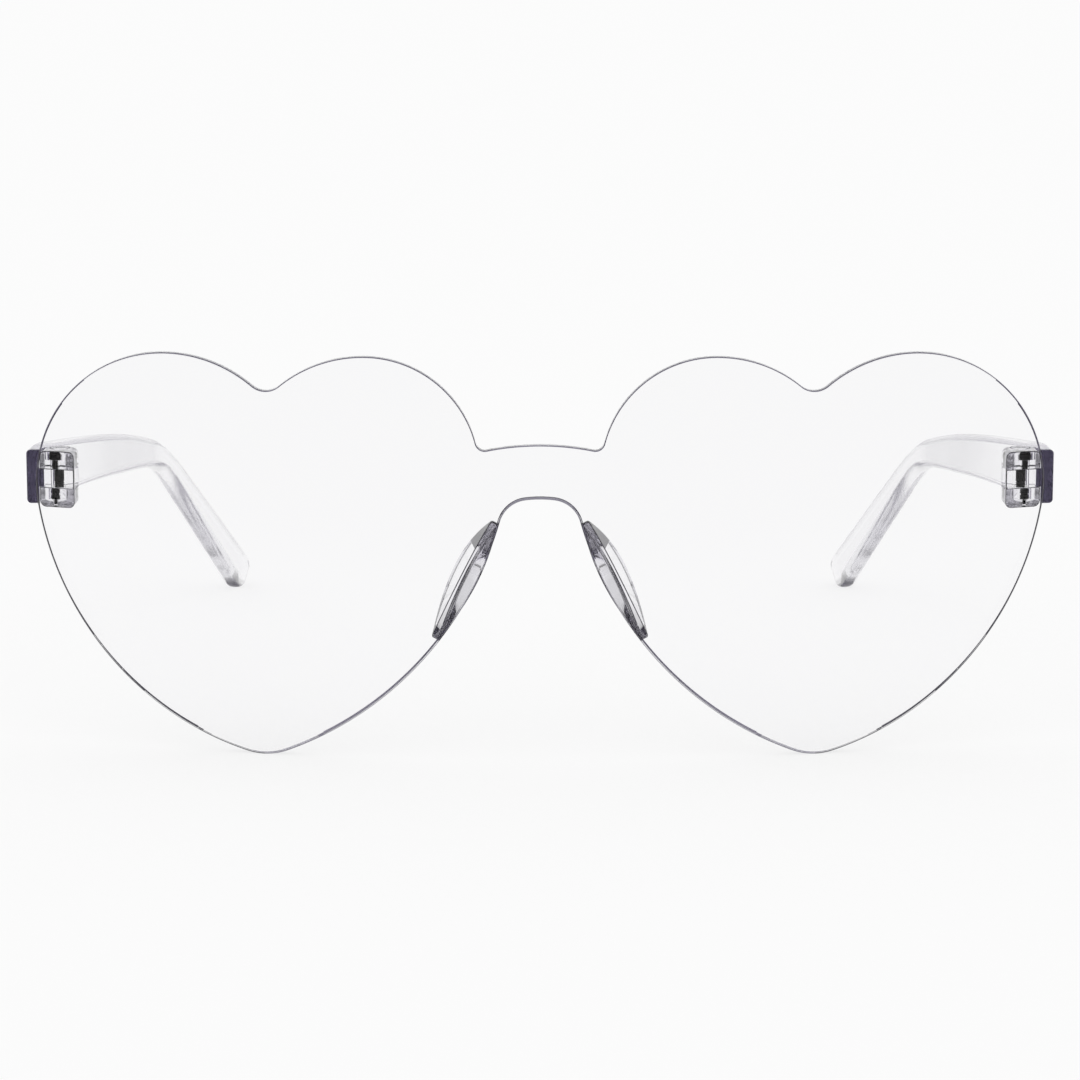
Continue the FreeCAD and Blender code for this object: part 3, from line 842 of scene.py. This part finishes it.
def arm_shape(sizes, hinge_sizes):
    """End block, arm, bend and ear hook through a row of sections, with a round tip cut flat on the floor."""
    stride, tip_step, front_steps, floor_tolerance = 0.5 * MM, 6, 3, 1e-7
    outer = hinge.x + hinge_sizes.knuckle_radius + hinge_sizes.swing_gap + sizes.block_thickness
    point = Vector((outer - sizes.thickness / 2, hinge.y - sizes.block_front, hinge.z))
    tip_start = sizes.arm_length + sizes.bend_length + sizes.hook_length
    tip_round = sizes.tip_height / 2
    stops = [(number * stride, 1) for number in range(round(tip_start / stride) + 1)]
    for degrees in range(tip_step, 90, tip_step):
        turn = math.radians(degrees)
        stops.append((tip_start + math.sin(turn) * tip_round, math.cos(turn)))
    shape = bmesh.new()
    loops = []
    last = 0
    for distance, shrink in stops:
        point = point + temple_heading((last + distance) / 2, sizes) * (distance - last)
        last = distance
        forward = temple_heading(distance, sizes)
        lateral = forward.cross(UP).normalized()
        place = Matrix((lateral, lateral.cross(forward), -forward)).transposed().to_4x4()
        place.translation = point
        height, corner = temple_section(distance, sizes)
        width = sizes.thickness * shrink
        loops.append(add_rounded_rectangle(shape, place, width, height * shrink, corner * shrink))
    bridged(shape, loops)
    round_edges(shape, loops[0], sizes.block_edge, front_steps)
    # The end block gets its own finish, whose denser tint is partly painted shade
    for face in shape.faces:
        face.material_index = END_BLOCK if face.calc_center_median().y < hinge.y else CLEAR
    cut = bmesh.ops.bisect_plane(shape, geom=shape.verts[:] + shape.edges[:] + shape.faces[:],
                                 dist=floor_tolerance, plane_co=(0, 0, 0), plane_no=-UP, clear_outer=True)
    bmesh.ops.edgeloop_fill(shape, edges=edges_of(cut["geom_cut"]))
    return shape


def temple_shape(sizes, hinge_sizes):
    """The arm with room for the two lugs, and with its bored middle knuckle."""
    beyond, rim_steps = 10 * MM, 3
    _, (bottom, top), _ = knuckle_levels(hinge_sizes)
    reach = hinge_sizes.knuckle_radius + hinge_sizes.swing_gap
    shape = arm_shape(sizes, hinge_sizes)
    for low, high in ((bottom - beyond, bottom), (top, top + beyond)):
        room = lug_prism(reach, reach, lambda x: hinge.y - beyond, low, high)
        shape = combined(shape, room, "DIFFERENCE")
    knuckle = cylinder(hinge_sizes.knuckle_radius, bottom, top)
    rims = [edge for edge in knuckle.edges if edge.calc_face_angle() > SHARP]
    round_edges(knuckle, rims, hinge_sizes.lug_edge, rim_steps)
    shape = combined(shape, knuckle, "UNION")
    bore = cylinder(hinge_sizes.screw_radius + hinge_sizes.screw_clearance, bottom - MM, top + MM)
    return combined(shape, bore, "DIFFERENCE")


# Finishes

class Shade:
    """One output of a node. Arithmetic on it adds Math nodes to its tree."""

    def __init__(self, tree, output):
        self.tree = tree
        self.output = output

    def math(self, operation, first, second):
        """Adds a Math node."""
        return add_node(self.tree, "ShaderNodeMath", {"operation": operation}, {0: first, 1: second})

    def __add__(self, other):
        return self.math("ADD", self, other)

    def __radd__(self, other):
        return self.math("ADD", other, self)

    def __sub__(self, other):
        return self.math("SUBTRACT", self, other)

    def __rsub__(self, other):
        return self.math("SUBTRACT", other, self)

    def __mul__(self, other):
        return self.math("MULTIPLY", self, other)

    def __rmul__(self, other):
        return self.math("MULTIPLY", other, self)


def add_node(tree, kind, settings, inputs, output=0):
    """Adds a node: its settings, then the values or links of its sockets. Returns one of its outputs."""
    node = tree.nodes.new(kind)
    for name, value in settings.items():
        setattr(node, name, value)
    for name, value in inputs.items():
        if isinstance(value, Shade):
            tree.links.new(value.output, node.inputs[name])
        else:
            node.inputs[name].default_value = value
    return Shade(tree, node.outputs[output])


def new_finish(name):
    """An empty material and its node tree."""
    material = bpy.data.materials.new(name)
    material.use_nodes = True
    material.node_tree.nodes.clear()
    return material, material.node_tree


def smooth_step(value, start, end, low, high):
    """A value turned smoothly from low to high between two places."""
    return add_node(value.tree, "ShaderNodeMapRange", {"interpolation_type": "SMOOTHSTEP"},
                    {"Value": value, "From Min": start, "From Max": end, "To Min": low, "To Max": high})


def clamped(value):
    """A value held between 0 and 1."""
    return add_node(value.tree, "ShaderNodeClamp", {}, {"Value": value})


def object_place(tree):
    """Object coordinates."""
    return add_node(tree, "ShaderNodeTexCoord", {}, {}, "Object")


def axis_of(vector, axis):
    """One axis of a vector."""
    return add_node(vector.tree, "ShaderNodeSeparateXYZ", {}, {"Vector": vector}, axis)


def noise(place, scale, detail):
    """Soft noise, from 0 to 1."""
    return add_node(place.tree, "ShaderNodeTexNoise", {}, {"Vector": place, "Scale": scale, "Detail": detail})


def grey(value):
    """An opaque grey."""
    return value, value, value, 1


def mixed_colours(share, first, second):
    """A colour between two."""
    first_input, second_input, colour_output = 6, 7, 2
    return add_node(share.tree, "ShaderNodeMix", {"data_type": "RGBA"},
                    {0: share, first_input: (*first, 1), second_input: (*second, 1)}, colour_output)


def tinted_inside(tree, look, density):
    """A tint that grows with the way through the plastic."""
    return add_node(tree, "ShaderNodeVolumeAbsorption", {}, {"Color": (*look.tint, 1), "Density": density})


def show(tree, surface, volume=None):
    """Links a surface, and a volume where there is one, to the material's output."""
    output = tree.nodes.new("ShaderNodeOutputMaterial")
    tree.links.new(surface.output, output.inputs["Surface"])
    if volume:
        tree.links.new(volume.output, output.inputs["Volume"])


def plastic_finish(name, look, density, satin):
    """Clear plastic with soft patches in its polish, faint flow ripples and a tint."""
    haze_start, haze_end = hinge.y + 4 * MM, hinge.y + 60 * MM
    material, tree = new_finish(name)
    place = object_place(tree)
    patches, ripples = noise(place, 120.0, 3.0), noise(place, 260.0, 1.0)
    hazed = smooth_step(axis_of(place, "Y"), haze_start, haze_end, look.polish, satin)
    bump = add_node(tree, "ShaderNodeBump", {}, {"Strength": 0.002, "Distance": 0.2 * MM, "Height": ripples})
    surface = add_node(tree, "ShaderNodeBsdfPrincipled", {}, {
        "Base Color": grey(1),
        "Roughness": hazed * (0.6 + 0.8 * patches),
        "IOR": look.refraction,
        "Specular Tint": grey(look.gloss),
        "Transmission Weight": 1.0,
        "Normal": bump,
    })
    show(tree, surface, tinted_inside(tree, look, density))
    return material


def painted_shade_finish(name, look, tint, roughness, density, clearness):
    """An edge of the clear plastic with painted shade: a dark colour for the dark line along the edge, a
    little uneven along its length.
    """
    dark_streak, light_streak = 0.75, 1.25
    material, tree = new_finish(name)
    streaks = noise(object_place(tree), 400.0, 2.0)
    tint = Vector(tint)
    surface = add_node(tree, "ShaderNodeBsdfPrincipled", {}, {
        "Base Color": mixed_colours(streaks, tint * dark_streak, tint * light_streak),
        "Roughness": roughness * (0.7 + 0.6 * streaks),
        "IOR": look.refraction,
        "Transmission Weight": clearness,
    })
    show(tree, surface, tinted_inside(tree, look, density))
    return material


def metal_finish(name, look, tone):
    """Turned metal: fine rings, and patches where it is rubbed brighter."""
    rub_start, rub_full = 0.45, 0.75
    dull, bright = 0.7, 4
    material, tree = new_finish(name)
    place = object_place(tree)
    rings = add_node(tree, "ShaderNodeTexWave", {"bands_direction": "Z"},
                     {"Vector": place, "Scale": 4000.0, "Distortion": 1.5, "Detail": 2.0})
    patches = noise(place, 1800.0, 4.0)
    rubbed = smooth_step(patches, rub_start, rub_full, 0.0, 1.0)
    tone = Vector(tone)
    bump = add_node(tree, "ShaderNodeBump", {}, {"Strength": 0.15, "Distance": 0.02 * MM, "Height": rings})
    surface = add_node(tree, "ShaderNodeBsdfPrincipled", {}, {
        "Base Color": mixed_colours(rubbed, tone * dull, tone * bright),
        "Metallic": 1.0,
        "Specular Tint": grey(0.3),
        "Roughness": look.roughness * (0.7 + 0.4 * rings + 0.3 * patches),
        "Normal": bump,
    })
    show(tree, surface)
    return material


# Stage

def ray_share(tree, *kinds):
    """Sum of outputs of the Light Path node, such as one for each ray of some kinds."""
    shares = [add_node(tree, "ShaderNodeLightPath", {}, {}, kind) for kind in kinds]
    return sum(shares[1:], shares[0])


def reflected_share(tree):
    """One for rays that were reflected on their way, nought for the others."""
    return clamped(ray_share(tree, "Glossy Depth"))


def floor_finish(look):
    """Matt white with a glow that takes no shadow. Reflections show it dim, apart from a bright sweep."""
    matt_white = 0.92
    dim_to, bright_from = -0.28, -0.18
    full_to, faded_from = 0.04, 0.5
    material, tree = new_finish("floor_white")
    place = object_place(tree)
    across, depth = axis_of(place, "X"), axis_of(place, "Y")
    sweep = (smooth_step(depth, dim_to, bright_from, 0.0, 1.0)
             * smooth_step(across * across, full_to, faded_from, 1.0, 0.0))
    dimmed = reflected_share(tree) * (1 - look.floor_dim) * (1 - sweep)
    seen = clamped(ray_share(tree, "Is Camera Ray", "Is Glossy Ray", "Is Transmission Ray"))
    matt = add_node(tree, "ShaderNodeBsdfDiffuse", {}, {"Color": grey(matt_white)})
    glow = add_node(tree, "ShaderNodeEmission", {}, {"Color": grey(look.white), "Strength": 1 - dimmed})
    show(tree, add_node(tree, "ShaderNodeMixShader", {}, {0: look.glow_share * seen, 1: matt, 2: glow}))
    return material


def add_floor(look):
    """A wide white floor that keeps a share of its shadows."""
    shape = bmesh.new()
    bmesh.ops.create_grid(shape, x_segments=1, y_segments=1, size=look.floor_size)
    mesh = bpy.data.meshes.new("floor")
    shape.to_mesh(mesh)
    shape.free()
    mesh.materials.append(floor_finish(look))
    floor = bpy.data.objects.new("floor", mesh)
    bpy.context.scene.collection.objects.link(floor)


def light_room(look):
    """White light from all round.

    Plastic shows a darker ceiling, and reflections show a dim room beside the backdrop.
    """
    ceiling_start, ceiling_full = math.sin(math.radians(3)), math.sin(math.radians(28))
    backdrop_rim, backdrop_core = math.cos(math.radians(80)), math.cos(math.radians(18))
    backdrop_lift = 0.8
    world = bpy.data.worlds.new("room")
    bpy.context.scene.world = world
    world.use_nodes = True
    tree = world.node_tree
    tree.nodes.clear()
    direction = add_node(tree, "ShaderNodeTexCoord", {}, {}, "Generated")
    height, backward = axis_of(direction, "Z"), axis_of(direction, "Y")
    passed_on = ray_share(tree, "Is Glossy Ray", "Is Transmission Ray")
    overhead = clamped(passed_on * smooth_step(height, ceiling_start, ceiling_full, 0.0, 1.0))
    beside = smooth_step(backward + backdrop_lift * height, backdrop_rim, backdrop_core, 1.0, 0.0)
    dimmed = reflected_share(tree) * beside * (1 - look.room_dim)
    strength = (1 - overhead * (1 - look.ceiling)) * (1 - dimmed)
    light = add_node(tree, "ShaderNodeBackground", {}, {"Color": grey(look.white), "Strength": strength})
    output = tree.nodes.new("ShaderNodeOutputWorld")
    tree.links.new(light.output, output.inputs["Surface"])


def add_camera(look):
    """A camera in front of the bridge, looking a little down."""
    data = bpy.data.cameras.new("camera")
    data.lens = look.focal_length
    data.sensor_width = SENSOR_MM
    camera = bpy.data.objects.new("camera", data)
    bpy.context.scene.collection.objects.link(camera)
    back = Vector((0, -math.cos(look.elevation), math.sin(look.elevation)))
    camera.location = Vector((0, cad_box[0].y, look.aim_height)) + back * look.camera_distance
    camera.rotation_mode = "QUATERNION"
    camera.rotation_quaternion = (-back).to_track_quat("-Z", "Y")
    bpy.context.scene.camera = camera


# Operators

class MakeLens(Operator):
    """Makes the curved heart front"""
    bl_idname = "heart_glasses.make_lens"
    bl_label = "Lens"

    def execute(self, context):
        scene = context.scene
        look = scene.glasses_plastic
        clear = plastic_finish("clear_lens", look, look.lens_density, look.polish)
        # The edge and flank finishes are painted shade, for the lens's dark edge lines
        edge = painted_shade_finish("lens_edge_painted_shade", look, look.painted_edge_shade, look.edge_roughness,
                           look.lens_density, look.edge_clearness)
        flank = painted_shade_finish("lens_flank_painted_shade", look, look.painted_flank_shade, look.edge_roughness,
                            look.lens_density, look.edge_clearness)
        add_piece("heart_lens", lens_shape(scene.glasses_lens), "lens_front", clear, edge, flank)
        return {"FINISHED"}


class MakePads(Operator):
    """Makes the two nose pads"""
    bl_idname = "heart_glasses.make_pads"
    bl_label = "Nose pads"

    def execute(self, context):
        scene = context.scene
        look = scene.glasses_plastic
        clear = plastic_finish("clear_pads", look, look.pad_density, look.polish)
        # The edge finish is painted shade, for the pads' dark rims and ends
        edge = painted_shade_finish("pad_edge_painted_shade", look, look.painted_pad_edge_shade, look.pad_edge_roughness,
                           look.pad_density, look.pad_edge_clearness)
        add_pair("pad", "nose_pad", pad_shape(scene.glasses_lens, scene.glasses_pads), clear, edge)
        return {"FINISHED"}


class MakeClevises(Operator):
    """Makes the two hinge clevises on the back of the lens"""
    bl_idname = "heart_glasses.make_clevises"
    bl_label = "Hinge clevises"

    def execute(self, context):
        scene = context.scene
        look = scene.glasses_plastic
        clear = plastic_finish("clear_hinges", look, look.hinge_density, look.polish)
        shape = clevis_shape(scene.glasses_lens, scene.glasses_pads, scene.glasses_hinges)
        # The edge finish is painted shade, for the lugs' dark outlines
        edge = painted_shade_finish("hinge_edge_painted_shade", look, look.painted_hinge_edge_shade, look.pad_edge_roughness,
                           look.hinge_density, look.hinge_edge_clearness)
        add_pair("clevis", "hinge_clevis", shape, clear, edge)
        return {"FINISHED"}


class MakeScrews(Operator):
    """Makes the two hinge screws"""
    bl_idname = "heart_glasses.make_screws"
    bl_label = "Hinge screws"

    def execute(self, context):
        scene = context.scene
        steel = metal_finish("screw_steel", scene.glasses_metal, scene.glasses_metal.screw)
        add_pair("screw", "hinge_screw", screw_shape(scene.glasses_hinges), steel)
        return {"FINISHED"}


class MakeInserts(Operator):
    """Makes the two threaded inserts"""
    bl_idname = "heart_glasses.make_inserts"
    bl_label = "Threaded inserts"

    def execute(self, context):
        scene = context.scene
        plated = metal_finish("insert_metal", scene.glasses_metal, scene.glasses_metal.insert)
        add_pair("insert", "threaded_insert", insert_shape(scene.glasses_hinges), plated)
        return {"FINISHED"}


class MakeTemples(Operator):
    """Makes the two temples with their ear hooks"""
    bl_idname = "heart_glasses.make_temples"
    bl_label = "Temples"

    def execute(self, context):
        scene = context.scene
        look = scene.glasses_plastic
        clear = plastic_finish("clear_temples", look, look.temple_density, look.satin)
        # The block finish is the arm's plastic with a denser tint, partly painted shade
        block = plastic_finish("temple_block_shaded", look, look.block_shaded_density, look.satin)
        shape = temple_shape(scene.glasses_temples, scene.glasses_hinges)
        add_pair("clear_temple", "temple", shape, clear, block)
        return {"FINISHED"}


class MakeStage(Operator):
    """Makes the floor, the soft white surround and the camera"""
    bl_idname = "heart_glasses.make_stage"
    bl_label = "Stage"

    def execute(self, context):
        bounces = 32
        look = context.scene.glasses_stage
        add_floor(look)
        light_room(look)
        add_camera(look)
        context.scene.view_settings.view_transform = "Standard"
        cycles = context.scene.cycles
        cycles.max_bounces = bounces
        cycles.glossy_bounces = bounces
        cycles.transmission_bounces = bounces
        return {"FINISHED"}


class GlassesPanel(Panel):
    """Lists the pieces and the settings"""
    bl_idname = "VIEW3D_PT_heart_glasses"
    bl_label = "Heart Glasses"
    bl_space_type = "VIEW_3D"
    bl_region_type = "UI"
    bl_category = "Glasses"

    def draw(self, context):
        for maker in MAKERS:
            self.layout.operator(maker.bl_idname)
        for name in SETTINGS:
            group = getattr(context.scene, name)
            box = self.layout.box()
            box.label(text=name.replace("_", " ").capitalize())
            for key in group.__annotations__:
                box.prop(group, key)


SETTINGS = {
    "glasses_lens": LensSizes,
    "glasses_pads": PadSizes,
    "glasses_hinges": HingeSizes,
    "glasses_temples": TempleSizes,
    "glasses_plastic": PlasticLook,
    "glasses_metal": MetalLook,
    "glasses_stage": StageLook,
}
MAKERS = (MakeLens, MakePads, MakeClevises, MakeScrews, MakeInserts, MakeTemples, MakeStage)


def register():
    """Registers the settings, the operators and the panel."""
    for cls in (*SETTINGS.values(), *MAKERS, GlassesPanel):
        bpy.utils.register_class(cls)
    for name, group in SETTINGS.items():
        setattr(bpy.types.Scene, name, PointerProperty(type=group))


def unregister():
    """Removes what register added."""
    for name in SETTINGS:
        delattr(bpy.types.Scene, name)
    for cls in reversed((*SETTINGS.values(), *MAKERS, GlassesPanel)):
        bpy.utils.unregister_class(cls)


def main():
    """Makes the glasses and the stage."""
    register()
    bpy.ops.heart_glasses.make_lens()
    bpy.ops.heart_glasses.make_pads()
    bpy.ops.heart_glasses.make_clevises()
    bpy.ops.heart_glasses.make_screws()
    bpy.ops.heart_glasses.make_inserts()
    bpy.ops.heart_glasses.make_temples()
    bpy.ops.heart_glasses.make_stage()


if __name__ == "__main__":
    main()
